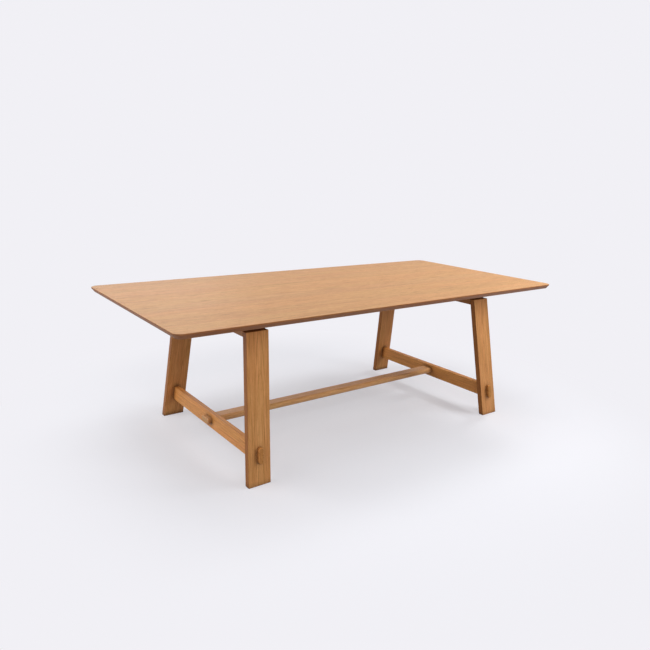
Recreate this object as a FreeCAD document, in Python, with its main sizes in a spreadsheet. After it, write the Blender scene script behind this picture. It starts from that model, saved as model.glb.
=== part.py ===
import FreeCAD
import Part
import Sketcher
import math
import os
import re

# A trestle dining table in solid wood. It stands on the floor at z = 0, centred on the origin.
# X runs along the table, Y across it (the front is -Y) and Z up. Sizes are in millimetres and degrees.

doc = FreeCAD.newDocument("TrestleTable")

# Driving dimensions: name, value, meaning
DRIVING = [
    ("top_length", 2340, "length of the top"),
    ("top_width", 1090, "width of the top"),
    ("table_height", 750, "floor to the upper face of the top"),
    ("top_thickness", 24, "thickness of the top"),
    ("corner_radius", 40, "plan radius of the top's corners"),
    ("bevel_inset", 14, "how far the bevel under the top's edge runs in"),
    ("edge_land", 6, "upright part of the top's edge, above the bevel"),
    ("stave_count", 9, "boards glued edge to edge in the top"),
    ("trestle_spread", 1556, "distance between the two trestles at the floor"),
    ("trestle_tilt", 3.85, "lean of a trestle along the table, feet outwards"),
    ("foot_spread", 985, "across the outer faces of a trestle's legs at the floor"),
    ("leg_lean", 9, "lean of a leg across the table, feet outwards"),
    ("leg_width", 112, "broad face of a leg board"),
    ("leg_thickness", 30, "thickness of a leg board"),
    ("head_gap", 54, "from the head of a leg up to the top"),
    ("bearer_lap", 28, "how far a bearer reaches down between the legs, below their heads"),
    ("rail_centre", 137, "floor to the middle of a cross rail"),
    ("rail_height", 74, "height of a cross rail"),
    ("rail_thickness", 28, "thickness of a cross rail"),
    ("rail_tenon_show", 18, "how far a cross rail's tenon stands out of the leg"),
    ("stretcher_lift", 3, "middle of the long stretcher above the middle of the cross rails"),
    ("stretcher_width", 76, "width of the long stretcher"),
    ("stretcher_thickness", 32, "thickness of the long stretcher"),
    ("stretcher_round", 14, "rounding of the stretcher's long edges"),
    ("stretcher_tenon_show", 23, "how far the stretcher's tenon stands out of the rail"),
    ("tenon_shoulder", 1.5, "shoulder all round a tenon"),
    ("tenon_chamfer", 2, "chamfer round the end of a tenon"),
    ("edge_round", 2, "rounding of the wooden edges"),
    ("glue_gap", 0.2, "room round a tenon, dowel, insert or thread"),
    ("dowel_diameter", 10, "dowel between a bearer and a leg"),
    ("dowel_in_leg", 17, "dowel depth in the leg"),
    ("dowel_in_bearer", 32, "dowel depth in the bearer"),
    ("dowel_edge", 28, "from a leg's edge to the middle of a dowel"),
    ("bolt_diameter", 8, "shank of a top bolt"),
    ("bolt_head_rim", 2.5, "how far the bolt's head stands out round the shank"),
    ("bolt_head_height", 8, "height of that head"),
    ("bolt_socket_depth", 4, "depth of the six-sided socket in that head"),
    ("bolt_slack", 1.5, "room round a bolt, so that the top can shrink and swell"),
    ("bolt_grip", 40, "wood between a bolt's washer and the top"),
    ("bolt_end_gap", 3, "from the bolt's end to the upper end of its insert"),
    ("bolt_inset", 87, "from a bearer's end to the middle of the bolt nearest to it"),
    ("washer_rim", 4.5, "how far a washer stands out round the bolt's head"),
    ("washer_thickness", 2, "thickness of a washer"),
    ("insert_wall", 2, "wall of a threaded insert"),
    ("insert_cover", 9, "wood above a threaded insert"),
]

sheet = doc.addObject("Spreadsheet::Sheet", "Sizes")
for row, (name, value, meaning) in enumerate(DRIVING, start=1):
    sheet.set("A%d" % row, meaning)
    sheet.set("B%d" % row, str(value))
    sheet.setAlias("B%d" % row, name)
doc.recompute()


def size(formula):
    """A formula in driving dimensions, such as "leg_width / 2", as an expression of the document."""
    return "(" + re.sub(r"\b[a-z]+(_[a-z]+)+\b", r"Sizes.\g<0>", formula) + ")"


def number(expression):
    """The present value of an expression."""
    return float(sheet.evalExpression(expression))


# Derived sizes
UNDERSIDE = size("table_height - top_thickness")
LEG_HEAD = size("table_height - top_thickness - head_gap")
BEARER_BASE = size("table_height - top_thickness - head_gap - bearer_lap")
BEARER_MIDDLE = size("table_height - top_thickness - (head_gap + bearer_lap) / 2")
WASHER_SEAT = size("table_height - top_thickness - bolt_grip")
STRETCHER_LINE = size("rail_centre + stretcher_lift")
STAVE_WIDTH = size("top_width / round(stave_count)")
INSERT_LENGTH = size("top_thickness - insert_cover")
INSERT_DIAMETER = size("bolt_diameter + 2 * insert_wall")
BOLT_BORE = size("bolt_diameter + 2 * glue_gap")
BOLT_HEAD_DIAMETER = size("bolt_diameter + 2 * bolt_head_rim")
WASHER_DIAMETER = size("bolt_diameter + 2 * bolt_head_rim + 2 * washer_rim")
DOWEL_REACH = size("leg_width / 2 - dowel_edge")
LEG_DEPTH = size("leg_thickness / cos(leg_lean)")
RAIL_DEPTH = size("rail_thickness / cos(trestle_tilt)")
UPRIGHT = size("cos(trestle_tilt)")
RAIL_LINE = "(%s / %s)" % (size("rail_centre"), UPRIGHT)
DOWEL_LINE = "((%s + %s) / 2 / %s)" % (BEARER_BASE, LEG_HEAD, UPRIGHT)

# How far a blank runs past its last cut, and how far that cut runs past the blank
SPARE = size("leg_thickness")
SAW_REACH = size("leg_width + table_height * tan(trestle_tilt)")

# Limits for tests: lengths and directions that count as equal, and the least volume that a cut takes away
NEAR = 0.01
LEAST_CUT = 1

ENDS = {"left": -1, "right": 1}
SIDES = {"front": -1, "back": 1}
BOLT_ROWS = (-1, 0, 1)
finished = []


def finish(piece, label):
    """Name a finished sub-part."""
    piece.Label = label
    finished.append(piece)


def place_at(x, y, z, axis=(0, 0, 1), angle="0"):
    """A placement at a point, turned about an axis."""
    turn = "rotation(vector(%d; %d; %d); %s)" % (axis + (angle,))
    return "placement(vector(%s; %s; %s); %s)" % (x, y, z, turn)


def trestle_frame(end):
    """Where a trestle stands: at one end of the table, with its feet leaning outwards."""
    reach = "%d * %s" % (end, size("trestle_spread / 2"))
    lean = "%d * %s" % (-end, size("trestle_tilt"))
    return place_at(reach, "0", "0", (0, 1, 0), lean)


def outer_face(height):
    """From a trestle's middle to a leg's outer face, at a height up the trestle."""
    return "(%s - (%s) * %s)" % (size("foot_spread / 2"), height, size("tan(leg_lean)"))


def inner_face(height):
    """From a trestle's middle to a leg's inner face, at a height up the trestle."""
    return "(%s - %s)" % (outer_face(height), LEG_DEPTH)


def trestle_line(height):
    """From the table's middle to a trestle's middle plane, at a height above the floor."""
    return "(%s - (%s) * %s)" % (size("trestle_spread / 2"), height, size("tan(trestle_tilt)"))


def bolt_place(end, row):
    """Where a top bolt stands, in the middle of a bearer's width."""
    x = "%d * %s" % (end, trestle_line(BEARER_MIDDLE))
    reach = "(%s - %s)" % (inner_face(UNDERSIDE), size("bolt_inset"))
    y = "%d * %s" % (row, reach) if row else "0"
    return x, y


# Helpers for bodies, sketches and features

def new_body(name, placement):
    body = doc.addObject("PartDesign::Body", name)
    body.setExpression("Placement", placement)
    return body


def new_sketch(body, plane, name, offset="0", axis=(0, 0, 1), turn="0"):
    """A sketch on one of its body's planes, moved off the plane and turned about one of its axes."""
    sketch = body.newObject("Sketcher::SketchObject", name)
    support = next(item for item in body.Origin.OriginFeatures if item.Role == plane)
    sketch.AttachmentSupport = [(support, "")]
    sketch.MapMode = "FlatFace"
    sketch.setExpression("AttachmentOffset", place_at("0", "0", offset, axis, turn))
    return sketch


def bind(sketch, kind, shape, point, expression):
    """Hold a point at a distance from the sketch's origin along one axis."""
    if expression == "0":
        axis = -2 if kind == "DistanceX" else -1
        sketch.addConstraint(Sketcher.Constraint("PointOnObject", shape, point, axis))
    else:
        distance = Sketcher.Constraint(kind, -1, 1, shape, point, number(expression))
        index = sketch.addConstraint(distance)
        sketch.setExpression("Constraints[%d]" % index, expression)


def bind_radius(sketch, shape, expression):
    index = sketch.addConstraint(Sketcher.Constraint("Radius", shape, number(expression)))
    sketch.setExpression("Constraints[%d]" % index, expression)


def flat_point(x, y):
    return FreeCAD.Vector(number(x), number(y), 0)


def draw_polygon(sketch, corners):
    """Straight lines round a list of corners."""
    first = sketch.GeometryCount
    points = [flat_point(x, y) for x, y in corners]
    count = len(points)
    for place in range(count):
        sketch.addGeometry(Part.LineSegment(points[place], points[(place + 1) % count]), False)
    for place, (x, y) in enumerate(corners):
        line = first + place
        sketch.addConstraint(Sketcher.Constraint("Coincident", line, 2, first + (place + 1) % count, 1))
        bind(sketch, "DistanceX", line, 1, x)
        bind(sketch, "DistanceY", line, 1, y)


def draw_rectangle(sketch, low_x, low_y, high_x, high_y):
    draw_polygon(sketch, [(low_x, low_y), (high_x, low_y), (high_x, high_y), (low_x, high_y)])


def draw_circle(sketch, x, y, radius):
    circle = Part.Circle(flat_point(x, y), FreeCAD.Vector(0, 0, 1), number(radius))
    shape = sketch.addGeometry(circle, False)
    bind(sketch, "DistanceX", shape, 3, x)
    bind(sketch, "DistanceY", shape, 3, y)
    bind_radius(sketch, shape, radius)


def draw_slot(sketch, centres, radius):
    """A round-ended slot between two centres, the upper or right-hand one first."""
    points = [flat_point(x, y) for x, y in centres]
    along = points[0] - points[1]
    start = math.atan2(along.y, along.x) - math.pi / 2
    arcs = []
    for turn, point in enumerate(points):
        circle = Part.Circle(point, FreeCAD.Vector(0, 0, 1), number(radius))
        opening = start + turn * math.pi
        arcs.append(Part.ArcOfCircle(circle, opening, opening + math.pi))
    for arc, other in zip(arcs, reversed(arcs)):
        sketch.addGeometry(arc, False)
        sketch.addGeometry(Part.LineSegment(arc.EndPoint, other.StartPoint), False)
    for shape in range(4):
        sketch.addConstraint(Sketcher.Constraint("Tangent", shape, 2, (shape + 1) % 4, 1))
    sketch.addConstraint(Sketcher.Constraint("Equal", 0, 2))
    for shape, (x, y) in zip((0, 2), centres):
        bind(sketch, "DistanceX", shape, 3, x)
        bind(sketch, "DistanceY", shape, 3, y)
    bind_radius(sketch, 0, radius)


def add_pad(body, sketch, length):
    """Material on both sides of a sketch."""
    pad = body.newObject("PartDesign::Pad", sketch.Name + "_pad")
    pad.Profile = sketch
    pad.SideType = "Symmetric"
    pad.setExpression("Length", length)
    doc.recompute()
    return pad


def add_pocket(body, sketch, length=None, reverse=False):
    """A cut right through on both sides of a sketch, or of one length to one side."""
    before = body.Shape.Volume
    pocket = body.newObject("PartDesign::Pocket", sketch.Name + "_cut")
    pocket.Profile = sketch
    if length:
        pocket.Reversed = reverse
        pocket.setExpression("Length", length)
    else:
        pocket.SideType = "Symmetric"
        pocket.Type = "ThroughAll"
    doc.recompute()
    if body.Shape.Volume > before - LEAST_CUT:
        raise RuntimeError(sketch.Name + " cuts nothing")
    return pocket


def soften(body, kind, feature, wanted, **amounts):
    """Fillet or chamfer the edges of a feature that a test picks."""
    edges = ["Edge%d" % place for place, edge in enumerate(feature.Shape.Edges, start=1) if wanted(edge)]
    softened = body.newObject("PartDesign::" + kind, feature.Name + "_" + kind.lower())
    softened.Base = (feature, edges)
    if "Size2" in amounts:
        softened.ChamferType = "Two distances"
    for amount, expression in amounts.items():
        softened.setExpression(amount, expression)
    doc.recompute()
    return softened


def every_edge(edge):
    return True


def runs_along(x, y, z):
    """A test for straight edges along an axis."""
    axis = FreeCAD.Vector(x, y, z)

    def test(edge):
        straight = edge.Curve.TypeId == "Part::GeomLine"
        return straight and abs(edge.Curve.Direction.dot(axis)) > 1 - NEAR
    return test


def lies_on(side, tip_at_zero, slope):
    """A test for edges in the sloping plane of a tenon's end: side picks the coordinate."""
    def test(edge):
        spread = [abs(getattr(point, side)) - tip_at_zero + slope * point.z for point in edge.discretize(5)]
        return max(abs(gap) for gap in spread) < NEAR
    return test


# The top: one panel, shaped and bored, then parted into its staves

def make_panel():
    body = new_body("panel", place_at("0", "0", size("table_height - top_thickness / 2")))
    outline = new_sketch(body, "XY_Plane", "panel_outline")
    half_length = size("top_length / 2")
    half_width = size("top_width / 2")
    draw_rectangle(outline, "-" + half_length, "-" + half_width, half_length, half_width)
    blank = add_pad(body, outline, size("top_thickness"))
    rounded = soften(body, "Fillet", blank, runs_along(0, 0, 1), Radius=size("corner_radius"))

    half = number(size("top_thickness / 2"))

    def lower_rim(edge):
        return edge.BoundBox.ZMax < NEAR - half

    def upper_rim(edge):
        return edge.BoundBox.ZMin > half - NEAR

    bevel = soften(body, "Chamfer", rounded, lower_rim,
                   Size=size("top_thickness - edge_land"), Size2=size("bevel_inset"))
    soften(body, "Fillet", bevel, upper_rim, Radius=size("edge_round"))

    depth = "(%s + %s)" % (INSERT_LENGTH, size("glue_gap"))
    bores = new_sketch(body, "XY_Plane", "insert_bores", offset=depth + " - " + size("top_thickness / 2"))
    for end in ENDS.values():
        for row in BOLT_ROWS:
            x, y = bolt_place(end, row)
            draw_circle(bores, x, y, "%s / 2 + %s" % (INSERT_DIAMETER, size("glue_gap")))
    add_pocket(body, bores, depth)
    return body


def make_staves():
    panel = make_panel()
    for place in range(round(number(size("stave_count")))):
        slab = doc.addObject("Part::Box", "stave_slab")
        slab.setExpression("Length", size("top_length"))
        slab.setExpression("Width", STAVE_WIDTH)
        slab.setExpression("Height", size("top_thickness"))
        edge = "%d * %s - %s" % (place, STAVE_WIDTH, size("top_width / 2"))
        slab.setExpression("Placement", place_at(size("-top_length / 2"), edge, UNDERSIDE))
        stave = doc.addObject("Part::Common", "stave")
        stave.Base = panel
        stave.Tool = slab
        finish(stave, "top_stave_%d" % (place + 1))


# The trestles: legs, bearers and cross rails, each drawn in its trestle's own leaning frame

def make_leg(end_name, side_name):
    end = ENDS[end_name]
    side = SIDES[side_name]
    name = "leg_%s_%s" % (side_name, end_name)
    body = new_body(name, trestle_frame(end))
    foot = "-" + SPARE
    head = "(%s / %s + %s)" % (LEG_HEAD, UPRIGHT, SPARE)
    board = new_sketch(body, "YZ_Plane", name + "_board")
    draw_polygon(board, [
        ("%d * %s" % (side, outer_face(foot)), foot),
        ("%d * %s" % (side, outer_face(head)), head),
        ("%d * %s" % (side, inner_face(head)), head),
        ("%d * %s" % (side, inner_face(foot)), foot),
    ])
    add_pad(body, board, size("leg_width"))

    # The foot and the head are sawn level with the floor
    level = "%d * %s" % (-end, size("trestle_tilt"))
    sawn = new_sketch(body, "XZ_Plane", name + "_sawn", turn=level)
    draw_rectangle(sawn, "-" + SAW_REACH, "-" + SAW_REACH, SAW_REACH, "0")
    draw_rectangle(sawn, "-" + SAW_REACH, LEG_HEAD, SAW_REACH, LEG_HEAD + " + " + SAW_REACH)
    cut = add_pocket(body, sawn)
    soften(body, "Fillet", cut, every_edge, Radius=size("edge_round"))

    mortise = new_sketch(body, "XZ_Plane", name + "_mortise")
    draw_slot(mortise, rail_slot_centres(), size("rail_thickness / 2 - tenon_shoulder + glue_gap"))
    add_pocket(body, mortise)

    bores = new_sketch(body, "XZ_Plane", name + "_bores")
    draw_dowel_circles(bores)
    depth = inner_face(DOWEL_LINE) + " + " + size("dowel_in_leg + glue_gap")
    add_pocket(body, bores, depth, reverse=side < 0)
    finish(body, name)


def rail_slot_centres():
    """Centres of a cross rail's round-ended tenon, the upper one first."""
    run = size("(rail_height - rail_thickness) / 2")
    return [("0", RAIL_LINE + " + " + run), ("0", RAIL_LINE + " - " + run)]


def stretcher_slot_centres():
    """Centres of the stretcher's round-ended tenon, the right-hand one first."""
    run = size("(stretcher_width - stretcher_thickness) / 2")
    return [(run, STRETCHER_LINE), ("-" + run, STRETCHER_LINE)]


def draw_dowel_circles(sketch):
    for hand in (-1, 1):
        across = "%d * %s" % (hand, DOWEL_REACH)
        draw_circle(sketch, across, DOWEL_LINE, size("dowel_diameter / 2 + glue_gap"))


def make_bearer(end_name):
    end = ENDS[end_name]
    name = "bearer_" + end_name
    body = new_body(name, trestle_frame(end))
    base = "(%s / %s)" % (BEARER_BASE, UPRIGHT)
    crown = "(%s / %s + %s)" % (UNDERSIDE, UPRIGHT, SPARE)
    board = new_sketch(body, "YZ_Plane", name + "_board")
    draw_polygon(board, [
        ("-" + inner_face(base), base),
        (inner_face(base), base),
        (inner_face(crown), crown),
        ("-" + inner_face(crown), crown),
    ])
    add_pad(body, board, size("leg_width"))

    # The upper face is planed level, to meet the underside of the top
    level = "%d * %s" % (-end, size("trestle_tilt"))
    planed = new_sketch(body, "XZ_Plane", name + "_planed", turn=level)
    draw_rectangle(planed, "-" + SAW_REACH, UNDERSIDE, SAW_REACH, UNDERSIDE + " + " + SAW_REACH)
    cut = add_pocket(body, planed)
    along = runs_along(0, 1, 0)
    lowest = number(base)

    def lower_edge(edge):
        return along(edge) and edge.BoundBox.ZMax < lowest + NEAR

    soften(body, "Fillet", cut, lower_edge, Radius=size("edge_round"))

    for side_name, side in SIDES.items():
        start = "%d * (%s - %s)" % (-side, inner_face(DOWEL_LINE), size("dowel_in_bearer + glue_gap"))
        bores = new_sketch(body, "XZ_Plane", "%s_bores_%s" % (name, side_name), offset=start)
        draw_dowel_circles(bores)
        add_pocket(body, bores, size("dowel_in_bearer + leg_thickness"), reverse=side < 0)

    # Bolt holes run straight up, with a wide bore from below for the washer and the head
    level = "%d * %s" % (end, size("trestle_tilt"))
    across = "%d * (%s - %s)" % (end, trestle_line(BEARER_MIDDLE), size("trestle_spread / 2"))
    for part, radius, depth in (
        ("holes", size("bolt_diameter / 2 + bolt_slack"), UNDERSIDE + " + " + SPARE),
        ("wide_bores", "%s / 2 + %s" % (WASHER_DIAMETER, size("bolt_slack")), WASHER_SEAT),
    ):
        holes = new_sketch(body, "XY_Plane", "%s_%s" % (name, part), axis=(0, 1, 0), turn=level)
        for row in BOLT_ROWS:
            draw_circle(holes, across, bolt_place(end, row)[1], radius)
        add_pocket(body, holes, depth, reverse=True)
    finish(body, name)


def make_cross_rail(end_name):
    end = ENDS[end_name]
    name = "cross_rail_" + end_name
    body = new_body(name, trestle_frame(end))
    low = "(%s - %s)" % (RAIL_LINE, size("rail_height / 2"))
    high = "(%s + %s)" % (RAIL_LINE, size("rail_height / 2"))
    board = new_sketch(body, "YZ_Plane", name + "_board")
    draw_polygon(board, [
        ("-" + inner_face(low), low),
        (inner_face(low), low),
        (inner_face(high), high),
        ("-" + inner_face(high), high),
    ])
    blank = add_pad(body, board, size("rail_thickness"))
    soften(body, "Fillet", blank, runs_along(0, 1, 0), Radius=size("edge_round"))

    # The tenons run through the legs, and their ends are cut parallel to the legs' outer faces
    tenon = new_sketch(body, "XZ_Plane", name + "_tenon")
    draw_slot(tenon, rail_slot_centres(), size("rail_thickness / 2 - tenon_shoulder"))
    add_pad(body, tenon, size("foot_spread + 4 * rail_tenon_show"))
    show = size("rail_tenon_show / cos(leg_lean)")
    far = size("foot_spread + 2 * rail_tenon_show")
    ends = new_sketch(body, "YZ_Plane", name + "_ends")
    for side in SIDES.values():
        draw_polygon(ends, [
            ("%d * (%s + %s)" % (side, outer_face(low), show), low),
            ("%d * %s" % (side, far), low),
            ("%d * %s" % (side, far), high),
            ("%d * (%s + %s)" % (side, outer_face(high), show), high),
        ])
    trimmed = add_pocket(body, ends)
    tip = number("%s + %s" % (outer_face("0"), show))
    slope = number(size("tan(leg_lean)"))
    soften(body, "Chamfer", trimmed, lies_on("y", tip, slope), Size=size("tenon_chamfer"))

    mortise = new_sketch(body, "YZ_Plane", name + "_mortise", axis=(1, 0, 0),
                         turn="%d * %s" % (end, size("trestle_tilt")))
    draw_slot(mortise, stretcher_slot_centres(), size("stretcher_thickness / 2 - tenon_shoulder + glue_gap"))
    add_pocket(body, mortise)
    finish(body, name)


# The long stretcher joins the two cross rails

def make_stretcher():
    name = "long_stretcher"
    body = new_body(name, place_at("0", "0", "0"))
    low = "(%s - %s)" % (STRETCHER_LINE, size("stretcher_thickness / 2"))
    high = "(%s + %s)" % (STRETCHER_LINE, size("stretcher_thickness / 2"))

    def shoulder(height):
        return "(%s - %s / 2)" % (trestle_line(height), RAIL_DEPTH)

    def tip(height):
        return "(%s + %s / 2 + %s)" % (trestle_line(height), RAIL_DEPTH,
                                       size("stretcher_tenon_show / cos(trestle_tilt)"))

    board = new_sketch(body, "XZ_Plane", name + "_board")
    draw_polygon(board, [
        ("-" + shoulder(low), low),
        (shoulder(low), low),
        (shoulder(high), high),
        ("-" + shoulder(high), high),
    ])
    blank = add_pad(body, board, size("stretcher_width"))
    soften(body, "Fillet", blank, runs_along(1, 0, 0), Radius=size("stretcher_round"))

    # The tenons run through the rails, and their ends are cut parallel to the rails' outer faces
    tenon = new_sketch(body, "YZ_Plane", name + "_tenon")
    draw_slot(tenon, stretcher_slot_centres(), size("stretcher_thickness / 2 - tenon_shoulder"))
    add_pad(body, tenon, size("trestle_spread + 2 * rail_thickness + 2 * stretcher_tenon_show"))
    far = size("trestle_spread + rail_thickness + stretcher_tenon_show")
    ends = new_sketch(body, "XZ_Plane", name + "_ends")
    for end in ENDS.values():
        draw_polygon(ends, [
            ("%d * %s" % (end, tip(low)), low),
            ("%d * %s" % (end, far), low),
            ("%d * %s" % (end, far), high),
            ("%d * %s" % (end, tip(high)), high),
        ])
    trimmed = add_pocket(body, ends)
    slope = number(size("tan(trestle_tilt)"))
    soften(body, "Chamfer", trimmed, lies_on("x", number(tip("0")), slope), Size=size("tenon_chamfer"))
    finish(body, name)


# Hidden fasteners, each kind one group of separate solids

def new_cylinder(name, diameter, height, placement):
    cylinder = doc.addObject("Part::Cylinder", name)
    cylinder.setExpression("Radius", "%s / 2" % diameter)
    cylinder.setExpression("Height", height)
    cylinder.setExpression("Placement", placement)
    return cylinder


def new_cut(name, base, tool):
    cut = doc.addObject("Part::Cut", name)
    cut.Base = base
    cut.Tool = tool
    return cut


def finish_group(label, pieces):
    group = doc.addObject("Part::Compound", label)
    group.Links = pieces
    finish(group, label)


def make_dowels():
    dowels = []
    length = size("dowel_in_leg + dowel_in_bearer")
    for end in ENDS.values():
        for side in SIDES.values():
            for hand in (-1, 1):
                across = "%d * %s" % (hand, DOWEL_REACH)
                start = "%d * (%s - %s)" % (side, inner_face(DOWEL_LINE), size("dowel_in_bearer"))
                lie = place_at(across, start, DOWEL_LINE, (1, 0, 0), str(-90 * side))
                placement = trestle_frame(end) + " * " + lie
                dowels.append(new_cylinder("dowel", size("dowel_diameter"), length, placement))
    finish_group("bearer_dowels", dowels)


def make_bolt(x, y):
    head_base = "(%s - %s)" % (WASHER_SEAT, size("washer_thickness + bolt_head_height"))
    shank_base = "(%s - %s)" % (WASHER_SEAT, size("washer_thickness"))
    shank_length = "%s + %s" % (size("washer_thickness + bolt_grip - bolt_end_gap"), INSERT_LENGTH)
    head = new_cylinder("bolt_head", BOLT_HEAD_DIAMETER, size("bolt_head_height"),
                        place_at(x, y, head_base))
    shank = new_cylinder("bolt_shank", size("bolt_diameter"), shank_length, place_at(x, y, shank_base))
    whole = doc.addObject("Part::Fuse", "bolt_blank")
    whole.Base = head
    whole.Tool = shank
    socket = doc.addObject("Part::Prism", "bolt_socket")
    socket.Polygon = 6
    socket.setExpression("Circumradius", "%s / 4" % BOLT_HEAD_DIAMETER)
    socket.setExpression("Height", size("bolt_socket_depth"))
    socket.setExpression("Placement", place_at(x, y, head_base))
    return new_cut("bolt", whole, socket)


def make_ring(name, outside, height, x, y, z):
    """A washer or an insert: a cylinder bored right through for the bolt."""
    return new_cut(
        name,
        new_cylinder(name + "_outside", outside, height, place_at(x, y, z)),
        new_cylinder(name + "_bore", BOLT_BORE, height, place_at(x, y, z)),
    )


def make_top_fixings():
    bolts = []
    washers = []
    inserts = []
    washer_base = "(%s - %s)" % (WASHER_SEAT, size("washer_thickness"))
    for end in ENDS.values():
        for row in BOLT_ROWS:
            x, y = bolt_place(end, row)
            bolts.append(make_bolt(x, y))
            washers.append(make_ring("washer", WASHER_DIAMETER, size("washer_thickness"), x, y, washer_base))
            inserts.append(make_ring("insert", INSERT_DIAMETER, INSERT_LENGTH, x, y, UNDERSIDE))
    finish_group("top_bolts", bolts)
    finish_group("top_bolt_washers", washers)
    finish_group("top_inserts", inserts)


def check_and_write():
    doc.recompute()
    for item in doc.Objects:
        if "Invalid" in item.State or "Error" in item.State:
            raise RuntimeError(item.Label + " did not build")
    for piece in finished:
        if piece.Shape.isNull() or not piece.Shape.isValid():
            raise RuntimeError(piece.Label + " is not a valid solid")
    os.makedirs("parts", exist_ok=True)
    for piece in finished:
        piece.Shape.exportStep("parts/%s.step" % piece.Label)


make_staves()
for end_name in ENDS:
    for side_name in SIDES:
        make_leg(end_name, side_name)
    make_bearer(end_name)
    make_cross_rail(end_name)
make_stretcher()
make_dowels()
make_top_fixings()
check_and_write()
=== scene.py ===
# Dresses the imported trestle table: oak on every board, metal on its fixings, and a pale studio round it
import bmesh
import bpy
import math
import random
from mathutils import Matrix, Vector


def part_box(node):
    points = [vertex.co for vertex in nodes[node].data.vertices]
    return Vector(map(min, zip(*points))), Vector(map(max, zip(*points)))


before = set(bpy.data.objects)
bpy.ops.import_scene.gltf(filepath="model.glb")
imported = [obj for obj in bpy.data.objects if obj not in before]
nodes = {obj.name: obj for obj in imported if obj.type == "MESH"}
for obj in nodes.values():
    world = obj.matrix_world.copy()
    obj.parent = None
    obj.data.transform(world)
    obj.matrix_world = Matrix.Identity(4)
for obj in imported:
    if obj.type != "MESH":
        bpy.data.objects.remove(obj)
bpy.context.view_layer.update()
fixings = ("bearer_dowels", "top_bolts", "top_bolt_washers", "top_inserts")
boards = [name for name in nodes if name not in fixings]
print("frame loaded,", len(nodes), "nodes")


class Wire:  # a socket in a node tree, so that shader maths reads as plain expressions
    def __init__(self, tree, socket=None):
        self.tree = tree
        self.socket = socket

    def node(self, kind, settings=None, sockets=None, out=0):
        made = self.tree.nodes.new("ShaderNode" + kind)
        for name, value in (settings or {}).items():
            if name == "stops":
                setStops(made.color_ramp, value)
            else:
                setattr(made, name, value)
        for name, value in (sockets or {}).items():
            if isinstance(value, Wire):
                self.tree.links.new(value.socket, made.inputs[name])
            else:
                made.inputs[name].default_value = value
        return Wire(self.tree, made.outputs[out]) if made.outputs else None

    def maths(self, operation, first, second=0.0):
        return self.node("Math", {"operation": operation}, {0: first, 1: second})

    def __add__(self, other):
        return self.maths("ADD", self, other)

    def __radd__(self, other):
        return self.maths("ADD", other, self)

    def __sub__(self, other):
        return self.maths("SUBTRACT", self, other)

    def __rsub__(self, other):
        return self.maths("SUBTRACT", other, self)

    def __mul__(self, other):
        return self.maths("MULTIPLY", self, other)

    def __rmul__(self, other):
        return self.maths("MULTIPLY", other, self)

    def __abs__(self):
        return self.maths("ABSOLUTE", self)

    def root(self):
        return self.maths("SQRT", self)

    def fraction(self):
        return self.maths("FRACT", self)

    def rise(self, low, high):  # 0 below low, 1 above high, smooth between
        return self.node("MapRange", {"interpolation_type": "SMOOTHSTEP"},
                         {"Value": self, "From Min": low, "From Max": high})

    def noise(self, packing, detail, roughness):  # cloudy value from 0 to 1, packed along each axis
        packed = self.node("VectorMath", {"operation": "MULTIPLY"}, {0: self, 1: packing})
        return self.node("TexNoise", {}, {"Vector": packed, "Scale": 1.0, "Detail": detail,
                                          "Roughness": roughness})

    def mix(self, first, second):  # mixes two colours, whose sockets on a Mix node are 6, 7 and output 2
        return self.node("Mix", {"data_type": "RGBA"}, {0: self, 6: first, 7: second}, out=2)

    def times(self, colour):  # this colour, tinted by another
        return self.node("Mix", {"data_type": "RGBA", "blend_type": "MULTIPLY"},
                         {0: 1.0, 6: self, 7: colour}, out=2)

    def dot(self, direction):
        return self.node("VectorMath", {"operation": "DOT_PRODUCT"}, {0: self, 1: direction}, out="Value")


def setStops(ramp, stops):
    while len(ramp.elements) < len(stops):
        ramp.elements.new(1.0)
    for element, (position, colour) in zip(ramp.elements, stops):
        element.position = position
        element.color = colour


# Shared by all finishes

untinted = (1.0, 1.0, 1.0)
softSamples = 4  # rays for each look round a corner or an edge


def newMaterial(name):
    material = bpy.data.materials.new(name)
    material.use_nodes = True
    material.node_tree.nodes.clear()
    return material, Wire(material.node_tree)


def dress(name, material):
    for slot in nodes[name].material_slots:
        slot.link = "OBJECT"
        slot.material = material


def opaque(colour):
    return tuple(colour) + (1.0,)


def tinted(colour, tone):
    return opaque(channel * share for channel, share in zip(colour, tone))


def layer(place, settings, crowding=1.0):  # a mask if it has edges, or else a swing about zero
    along, across, through = settings["packing"]
    packing = (along * crowding, across, through)
    cloud = place.noise(packing, settings["detail"], settings["roughness"])
    return cloud.rise(*settings["edges"]) if "edges" in settings else cloud - 0.5


def spread(place, finish):  # all layers of noise that a finish lists under grain
    return {name: layer(place, settings) for name, settings in finish["grain"].items()}


def weighed(start, layers, weights):  # start, plus each layer by its weight
    total = start
    for name, weight in weights.items():
        total = total + layers[name] * weight
    return total


def stained(layers, finish, tone=untinted):  # from deep to pale, as the layers add up
    value = weighed(finish["meanTone"], layers, finish["toneLayers"])
    stops = [(position, tinted(finish[colour], tone)) for position, colour in finish["stops"]]
    return value.node("ValToRGB", {"stops": stops}, {"Fac": value})


def edgeBend(wire, radius):  # 0 on a flat face, more towards its edges
    normal = wire.node("NewGeometry", out="Normal")
    rounded = wire.node("Bevel", {"samples": softSamples}, {"Radius": radius})
    return 1 - rounded.dot(normal)


def applyFinish(wire, finish, layers, sockets):  # the surface itself, with its shine and relief
    shine = weighed(finish["roughness"], layers, finish["roughLayers"])
    relief = weighed(0.0, layers, finish["reliefLayers"])
    bump = wire.node("Bump", {}, {"Height": relief, "Strength": finish["bumpStrength"],
                                  "Distance": finish["bumpHeight"]})
    surface = wire.node("BsdfPrincipled", {}, {"Roughness": shine, "Normal": bump, **sockets})
    wire.node("OutputMaterial", {}, {"Surface": surface})


# Oak

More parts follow.
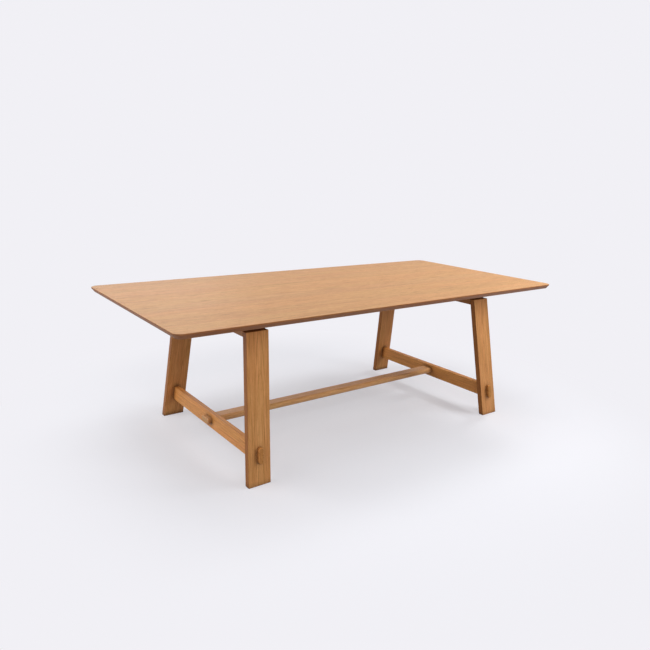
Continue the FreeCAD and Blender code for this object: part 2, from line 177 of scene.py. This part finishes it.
oakFinish = {
    # linear colours: the wood from pale to deep, open pores, gathered oil and painted shade, and rubbed
    # edges
    "pale": (0.740, 0.385, 0.155),
    "middle": (0.620, 0.290, 0.100),
    "deep": (0.450, 0.190, 0.057),
    "pore": (0.240, 0.095, 0.028),
    "oilAndShade": (0.048, 0.019, 0.0056),
    "rubbed": (0.777, 0.40425, 0.16275),
    "stops": ((0.15, "deep"), (0.50, "middle"), (0.85, "pale")),
    "blush": (1.03, 0.98, 0.95),            # tints of the reddish and the yellowish patches
    "straw": (1.00, 1.01, 0.95),
    # growth rings, and where a board lies in its log
    "ringWidth": 0.0017,
    "ringWander": 0.010,                    # how far the rings stray from true circles
    "trunkTaper": 0.006,                    # ring drift per metre of length, which draws the long arches
    "earlyOpens": (0.0, 0.05),              # shares of a ring over which its early wood begins and ends
    "earlyCloses": (0.05, 0.55),
    "heartAcross": (-1.6, 1.6),             # a board's own heart, as shares of the place that its kind gives
    "heartBehind": (0.7, 1.5),
    "logReach": 9.0,                        # metres of noise in which each board has a place of its own
    # noise per metre along, across and through a board, and the edges of those that are masks
    "grain": {
        "wander": {"packing": (1.3, 5.0, 5.0), "detail": 2.0, "roughness": 0.5},
        "band": {"packing": (0.7, 26.0, 26.0), "detail": 2.0, "roughness": 0.5},
        "stripe": {"packing": (2.4, 110.0, 110.0), "detail": 3.0, "roughness": 0.65},
        "streak": {"packing": (9.0, 430.0, 430.0), "detail": 3.0, "roughness": 0.6},
        "pore": {"packing": (60.0, 1700.0, 1700.0), "detail": 1.0, "roughness": 0.5, "edges": (0.56, 0.68)},
        "fleck": {"packing": (45.0, 240.0, 900.0), "detail": 1.0, "roughness": 0.5, "edges": (0.66, 0.76)},
        "patch": {"packing": (1.6, 14.0, 14.0), "detail": 2.0, "roughness": 0.5, "edges": (0.35, 0.65)},
        "rub": {"packing": (30.0, 60.0, 60.0), "detail": 2.0, "roughness": 0.5, "edges": (0.35, 0.70)},
    },
    "dash": {"packing": (1.0, 150.0, 150.0), "detail": 6.0, "roughness": 0.68},  # the kind crowds it along
    "latePores": 0.35,                      # share of the pores that is left in the late wood
    "poreShow": 0.55,
    "meanTone": 0.55,                       # from 0, deep, to 1, pale
    "toneLayers": {"band": 0.35, "stripe": 0.70, "dash": 1.25, "streak": 0.85,
                   "rings": -0.22, "fleck": 0.10},
    "roughness": 0.48,
    "roughLayers": {"pore": 0.18, "endGrain": 0.14, "streak": 0.12, "fleck": -0.06, "rubbed": -0.08},
    "reliefLayers": {"streak": 0.35, "pore": -0.80, "rings": -0.25},
    "bumpStrength": 0.5,
    "bumpHeight": 0.00025,
    # age, and painted shade on narrow sides and in inner corners
    "endFacing": (0.55, 0.95),              # how squarely a cut end looks along the board
    "endShade": 0.28,
    "wideFacing": (0.65, 0.95),             # how squarely a wide face looks away from the board
    "jointReach": 0.030,                    # how far from an inner corner the painted shade reaches
    "jointHidden": (0.05, 0.60),            # how much of the view from there is shut off
    "jointShade": 0.85,
    "edgeRadius": 0.0035,
    "edgeTurn": (0.02, 0.25),               # how sharply the surface turns where rubbing starts and is full
    "edgeWear": 0.25,
}

# Per kind of board: the way its wide face looks, where the heart of the log lies from the board's middle
# (across the face, behind the face), its tone, how far tones stray between boards of the kind, the tint
# of painted shade on its narrow sides, how many dark dashes a metre holds, and its gloss
boardKinds = {
    # tones hold the wood's own hue and painted light: paler and bluer on the top, legs and stretcher as
    # painted sheen, darker on the bearers as painted shade under the top, lighter on the rails as painted
    # light
    "top_stave": {"face": (0, 0, 1), "heart": (0.03, -0.11), "tone": (0.92, 0.98, 1.00),
                  "stray": 0.035, "side": (0.52, 0.36, 0.22), "dashes": 24.0, "gloss": 0.50},
    "leg": {"face": (0, 1, 0), "heart": (0.02, -0.09), "tone": (1.18, 1.16, 1.20),
            "stray": 0.03, "side": (0.52, 0.42, 0.27), "dashes": 9.0, "gloss": 0.25},
    "bearer": {"face": (1, 0, 0), "heart": (0.01, -0.10), "tone": (0.72, 0.64, 0.52),
               "stray": 0.03, "side": (0.60, 0.52, 0.45), "dashes": 9.0, "gloss": 0.3},
    "cross_rail": {"face": (1, 0, 0), "heart": (0.06, -0.08), "tone": (1.21, 1.11, 0.88),
                   "stray": 0.03, "side": untinted, "dashes": 9.0, "gloss": 0.4},
    "long_stretcher": {"face": (0, 0, 1), "heart": (0.05, -0.07), "tone": (1.24, 1.42, 1.70),
                       "stray": 0.0, "side": untinted, "dashes": 12.0, "gloss": 0.6},
}
endReach = 0.001  # how near a board's end a corner has to be to belong to it


def kindOf(name):
    return next(kind for prefix, kind in boardKinds.items() if name.startswith(prefix))


def endMiddle(corners, axis, picked):  # middle of the board's outline at one of its two ends
    limit = picked(corner[axis] for corner in corners)
    nearEnd = [corner for corner in corners if abs(corner[axis] - limit) < endReach]
    low = Vector(map(min, *nearEnd))
    high = Vector(map(max, *nearEnd))
    return (low + high) / 2


# The turn and the shift from object coordinates to along the grain, across the face and through the board
def boardFrame(name, face):
    corners = [vertex.co for vertex in nodes[name].data.vertices]
    low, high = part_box(name)
    size = high - low
    longest = max(range(3), key=lambda axis: size[axis])
    along = (endMiddle(corners, longest, max) - endMiddle(corners, longest, min)).normalized()
    through = Vector(face) - along * along.dot(Vector(face))
    through.normalize()
    turn = Matrix((along, through.cross(along), through))
    return turn, -(turn @ ((low + high) / 2))


def pickBoard(name, kind):  # one board's own tone, and where it lies in the log
    pick = random.Random(name)
    stray = 1 + pick.uniform(-1, 1) * kind["stray"]
    warmth = 1 + pick.uniform(-1, 1) * kind["stray"]
    side = pick.choice((-1, 1))
    across = kind["heart"][0] * pick.uniform(*oakFinish["heartAcross"])
    behind = kind["heart"][1] * side * pick.uniform(*oakFinish["heartBehind"])
    reach = oakFinish["logReach"]
    place = [pick.uniform(-reach, reach) for axis in "XYZ"]
    red, green, blue = kind["tone"]
    tone = (red * stray, green * stray, blue * stray * warmth)
    return {"tone": tone, "heart": (across, behind), "place": place}


def growthRings(board, heart, wander):  # 1 in the early wood of each ring round the heart of the log
    along, across, through = [board.node("SeparateXYZ", {}, {"Vector": board}, out=axis) for axis in "XYZ"]
    aside = across - heart[0] + wander
    depth = through - heart[1]
    radius = (aside * aside + depth * depth).root() + wander
    ring = ((radius + along * oakFinish["trunkTaper"]) * (1 / oakFinish["ringWidth"])).fraction()
    return (1 - ring.rise(*oakFinish["earlyCloses"])) * ring.rise(*oakFinish["earlyOpens"])


def layGrain(board, log, heart, dashes):  # every layer of one board's grain
    grain = spread(log, oakFinish)
    grain["dash"] = layer(log, oakFinish["dash"], dashes)
    grain["rings"] = growthRings(board, heart, grain["wander"] * oakFinish["ringWander"])
    late = oakFinish["latePores"]
    grain["pore"] = grain["pore"] * (late + (1 - late) * grain["rings"])
    return grain


def findWearAndShade(wire, turn, rub):  # masks of cut ends, wide faces, inner corners and rubbed edges; the wide-face and inner-corner masks place painted shade
    normal = wire.node("NewGeometry", out="Normal")
    openness = wire.node("AmbientOcclusion", {"samples": softSamples},
                         {"Distance": oakFinish["jointReach"]}, out="AO")
    edge = edgeBend(wire, oakFinish["edgeRadius"]).rise(*oakFinish["edgeTurn"])
    return {
        "endGrain": abs(normal.dot(turn[0])).rise(*oakFinish["endFacing"]),
        "wideFace": abs(normal.dot(turn[2])).rise(*oakFinish["wideFacing"]),
        "corner": (1 - openness).rise(*oakFinish["jointHidden"]),
        "rubbed": edge * rub,
    }


def plainWood(grain, tone):  # stained by its grain, with dark pores and patches of warmer tint
    wood = stained(grain, oakFinish, tone)
    wood = (grain["pore"] * oakFinish["poreShow"]).mix(wood, tinted(oakFinish["pore"], tone))
    return wood.times(grain["patch"].mix(opaque(oakFinish["blush"]), opaque(oakFinish["straw"])))


def agedAndShadedWood(wood, wearAndShade, side):  # oil darkens cut ends, painted shade darkens narrow sides and inner corners, and rubbed edges are pale
    # painted shade: the kind's side tint darkens every face that is not a wide face
    wood = wood.times(wearAndShade["wideFace"].mix(opaque(side), opaque(untinted)))
    # painted shade: inner corners darken as more of the view from them is shut off
    clearOfOilAndShade = (1 - wearAndShade["endGrain"] * oakFinish["endShade"]) * (1 - wearAndShade["corner"] * oakFinish["jointShade"])
    wood = clearOfOilAndShade.mix(opaque(oakFinish["oilAndShade"]), wood)
    return (wearAndShade["rubbed"] * oakFinish["edgeWear"]).mix(wood, opaque(oakFinish["rubbed"]))


def makeOak(name, kind):
    chosen = pickBoard(name, kind)
    turn, shift = boardFrame(name, kind["face"])
    material, wire = newMaterial("oak_" + name)
    surface = wire.node("TexCoord", out="Object")
    board = wire.node("Mapping", {"vector_type": "POINT"},
                      {"Vector": surface, "Location": shift, "Rotation": turn.to_euler("XYZ")})
    log = wire.node("VectorMath", {"operation": "ADD"}, {0: board, 1: chosen["place"]})
    grain = layGrain(board, log, chosen["heart"], kind["dashes"])
    wearAndShade = findWearAndShade(wire, turn, grain["rub"])
    wood = agedAndShadedWood(plainWood(grain, chosen["tone"]), wearAndShade, kind["side"])
    sockets = {"Base Color": wood, "Specular IOR Level": kind["gloss"]}
    applyFinish(wire, oakFinish, {**grain, **wearAndShade}, sockets)
    return material


for name in boards:
    dress(name, makeOak(name, kindOf(name)))
print("oak on", len(boards), "boards")


# Dowels and fixings

dowelFinish = {
    "pale": (0.70, 0.50, 0.31),
    "deep": (0.56, 0.37, 0.20),
    "stops": ((0.25, "deep"), (0.75, "pale")),
    "grain": {
        "fibre": {"packing": (420.0, 9.0, 420.0), "detail": 3.0, "roughness": 0.6},
        "fleck": {"packing": (900.0, 120.0, 900.0), "detail": 1.0, "roughness": 0.5, "edges": (0.62, 0.72)},
    },
    "fleckShow": 0.4,
    "meanTone": 0.5,
    "toneLayers": {"fibre": 1.0},
    "roughness": 0.6,
    "roughLayers": {"fibre": 0.2},
    "reliefLayers": {"fibre": 1.0, "fleck": -0.5},
    "bumpStrength": 0.4,
    "bumpHeight": 0.0002,
}
turnedFinish = {  # shared by bolts, washers and inserts, whose worn edges are bright
    "stops": ((0.3, "deep"), (0.7, "pale")),
    "grain": {
        "turned": {"packing": (160.0, 160.0, 4200.0), "detail": 2.0, "roughness": 0.6},
        "clouds": {"packing": (90.0, 90.0, 90.0), "detail": 3.0, "roughness": 0.5},
    },
    "meanTone": 0.5,
    "toneLayers": {"clouds": 1.0},
    "roughLayers": {"turned": 0.25, "clouds": 0.2, "worn": -0.08},
    "reliefLayers": {"turned": 1.0},
    "bumpStrength": 0.25,
    "bumpHeight": 0.0001,
    "edgeRadius": 0.0008,
    "edgeTurn": (0.02, 0.3),
    "edgeWear": 0.5,
}
boltFinish = {**turnedFinish, "pale": (0.62, 0.62, 0.63), "deep": (0.42, 0.42, 0.44),
              "bright": (0.713, 0.713, 0.7245), "roughness": 0.32}
insertFinish = {**turnedFinish, "pale": (0.78, 0.58, 0.26), "deep": (0.55, 0.38, 0.15),
                "bright": (0.897, 0.667, 0.299), "roughness": 0.34}


def makeDowelWood():
    material, wire = newMaterial("beech_dowel")
    grain = spread(wire.node("TexCoord", out="Object"), dowelFinish)
    flecks = grain["fleck"] * dowelFinish["fleckShow"]
    wood = flecks.mix(stained(grain, dowelFinish), opaque(dowelFinish["deep"]))
    applyFinish(wire, dowelFinish, grain, {"Base Color": wood})
    return material


def makeTurnedMetal(name, finish):
    material, wire = newMaterial(name)
    layers = spread(wire.node("TexCoord", out="Object"), finish)
    layers["worn"] = edgeBend(wire, finish["edgeRadius"]).rise(*finish["edgeTurn"])
    worn = layers["worn"] * finish["edgeWear"]
    metal = worn.mix(stained(layers, finish), opaque(finish["bright"]))
    applyFinish(wire, finish, layers, {"Base Color": metal, "Metallic": 1.0})
    return material


dress("bearer_dowels", makeDowelWood())
boltSteel = makeTurnedMetal("zinc_steel", boltFinish)
dress("top_bolts", boltSteel)
dress("top_bolt_washers", boltSteel)
dress("top_inserts", makeTurnedMetal("insert_brass", insertFinish))
print("dowels and fixings dressed")


# Studio: a pale floor that fades into the backdrop, and plain soft lamps

studio = {
    "backdrop": (0.880, 0.872, 0.914),
    "floor": (0.510, 0.518, 0.550),
    "floorBounce": (0.270, 0.270, 0.285),   # what the floor gives back to the table
    "floorGlow": 0.48,                      # share of the backdrop that is seen on top of the lit floor
    "floorReach": 40.0,
    "floorFade": (0.95, 1.9),               # how far out the floor passes into the backdrop
    "lampTarget": (0, 0, 0.3),
    "fillLamps": ("right", "nearRight", "frontRight"),  # these leave no glare on the top
}
lamps = {
    "overhead": {"place": (0.0, 0.4, 4.5), "size": 3.5, "power": 70},
    "right": {"place": (2.9, 0.4, 2.7), "size": 0.6, "power": 32},
    "nearRight": {"place": (1.6, -1.4, 1.8), "size": 1.0, "power": 18},
    "frontRight": {"place": (3.2, -5.2, 2.5), "size": 2.0, "power": 70},
    "lowFront": {"place": (-1.2, -3.8, 1.5), "size": 1.2, "power": 20},
    "highFrontLeft": {"place": (-2.2, -3.2, 3.2), "size": 1.5, "power": 18},
    "left": {"place": (-4.2, -0.6, 1.5), "size": 1.8, "power": 25},
    "highLeft": {"place": (-3.4, 0.8, 3.0), "size": 1.6, "power": 34},
    "lowBackLeft": {"place": (-3.6, 2.35, 1.4), "size": 1.8, "power": 41},
    "back": {"place": (0.5, 4.6, 2.6), "size": 2.5, "power": 18},
}


def seenRays(wire):  # 1 where a ray comes from the camera, or by way of a mirror or a clear surface
    seen = 0.0
    for name in ("Is Camera Ray", "Is Glossy Ray", "Is Transmission Ray"):
        seen = seen + wire.node("LightPath", out=name)
    return wire.maths("MINIMUM", seen, 1.0)


def makeFloorFinish():
    material, wire = newMaterial("studio_floor")
    surface = wire.node("TexCoord", out="Object")
    away = wire.node("VectorMath", {"operation": "LENGTH"}, {0: surface}, out="Value")
    backdrop = opaque(studio["backdrop"])
    lit = wire.node("BsdfDiffuse", {}, {"Color": opaque(studio["floor"])})
    glow = wire.node("Emission", {}, {"Color": backdrop, "Strength": studio["floorGlow"]})
    near = wire.node("AddShader", {}, {0: lit, 1: glow})
    far = wire.node("Emission", {}, {"Color": backdrop, "Strength": 1.0})
    shown = wire.node("MixShader", {}, {0: away.rise(*studio["floorFade"]), 1: near, 2: far})
    bounce = wire.node("BsdfDiffuse", {}, {"Color": opaque(studio["floorBounce"])})
    floor = wire.node("MixShader", {}, {0: seenRays(wire), 1: bounce, 2: shown})
    wire.node("OutputMaterial", {}, {"Surface": floor})
    return material


def makeFloor():
    mesh = bpy.data.meshes.new("studio_floor")
    sheet = bmesh.new()
    bmesh.ops.create_grid(sheet, x_segments=1, y_segments=1, size=studio["floorReach"])
    sheet.to_mesh(mesh)
    sheet.free()
    mesh.materials.append(makeFloorFinish())
    floor = bpy.data.objects.new("studio_floor", mesh)
    bpy.context.scene.collection.objects.link(floor)


def makeWorld():
    world = bpy.data.worlds.new("studio_world")
    world.use_nodes = True
    world.node_tree.nodes.clear()
    wire = Wire(world.node_tree)
    plain = wire.node("Background", {}, {"Color": opaque(studio["backdrop"]), "Strength": seenRays(wire)})
    wire.node("OutputWorld", {}, {"Surface": plain})
    bpy.context.scene.world = world


def makeLamp(name, lamp):
    light = bpy.data.lights.new(name, "AREA")
    light.shape = "SQUARE"
    light.size = lamp["size"]
    light.energy = lamp["power"]
    holder = bpy.data.objects.new(name, light)
    holder.location = lamp["place"]
    holder.visible_glossy = name not in studio["fillLamps"]
    aim = Vector(studio["lampTarget"]) - Vector(lamp["place"])
    holder.rotation_euler = aim.to_track_quat("-Z", "Y").to_euler()
    bpy.context.scene.collection.objects.link(holder)


makeFloor()
makeWorld()
for name, lamp in lamps.items():
    makeLamp(name, lamp)
print("studio lit by", len(lamps), "lamps")


# Camera

lens = {
    "place": (-2.0029, -2.5686, 1.3399),
    "yaw": -36.775,             # degrees, all three zero for a look along +Y on the level
    "pitch": -14.103,
    "roll": 1.921,
    "focalPixels": 603.09,
    "imageWidth": 650,
    "sensor": 36.0,
    "clipEnd": 200.0,
}


def makeCamera():
    data = bpy.data.cameras.new("camera")
    data.sensor_width = lens["sensor"]
    data.lens = lens["focalPixels"] / lens["imageWidth"] * lens["sensor"]
    data.clip_end = lens["clipEnd"]
    camera = bpy.data.objects.new("camera", data)
    yaw = Matrix.Rotation(math.radians(lens["yaw"]), 3, "Z")
    pitch = Matrix.Rotation(math.radians(90 + lens["pitch"]), 3, "X")  # 90 lifts its downward look to level
    roll = Matrix.Rotation(math.radians(lens["roll"]), 3, "Z")
    camera.location = lens["place"]
    camera.rotation_euler = (yaw @ pitch @ roll).to_euler()
    bpy.context.scene.collection.objects.link(camera)
    bpy.context.scene.camera = camera


makeCamera()
bpy.context.scene.view_settings.view_transform = "Standard"
print("camera placed")
